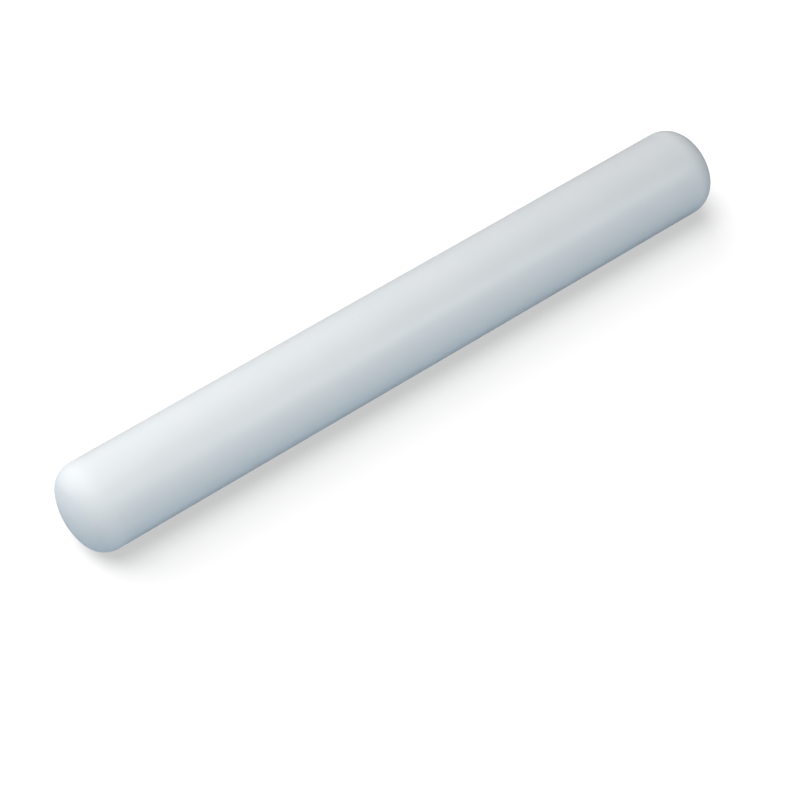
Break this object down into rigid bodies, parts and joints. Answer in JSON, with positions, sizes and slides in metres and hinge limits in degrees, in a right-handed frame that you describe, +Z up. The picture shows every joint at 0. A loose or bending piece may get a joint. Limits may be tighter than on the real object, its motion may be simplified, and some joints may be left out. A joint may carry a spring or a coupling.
{
  "type": "fondant rolling pin",
  "caption": "Smooth rolling pin for fondant with no handles: a hollow plastic barrel closed by domed push-in end caps, each sealed by a rubber ring.",
  "frame": {"origin": "on the surface that the pin lies on, below the middle of its length", "axes": "+X along the pin's axis, towards the right end cap; +Z up"},
  "size_m": [0.25, 0.03, 0.03],
  "materials": {
    "pin_plastic": "smooth semi-gloss polyethylene, pale ice-blue white",
    "seal_rubber": "satin food-grade silicone, pale grey blue"
  },
  "bodies": {
    "barrel": {"barrel_tube": "pin_plastic"},
    "left_cap": {"left_end_cap": "pin_plastic", "left_cap_seal": "seal_rubber"},
    "right_cap": {"right_end_cap": "pin_plastic", "right_cap_seal": "seal_rubber"}
  },
  "joints": [
    {"name": "left_cap_pull", "type": "slide", "parent": "barrel", "child": "left_cap", "axis": [-1, 0, 0], "range_m": [0, 0.025]},
    {"name": "right_cap_pull", "type": "slide", "parent": "barrel", "child": "right_cap", "axis": [1, 0, 0], "range_m": [0, 0.025]}
  ]
}
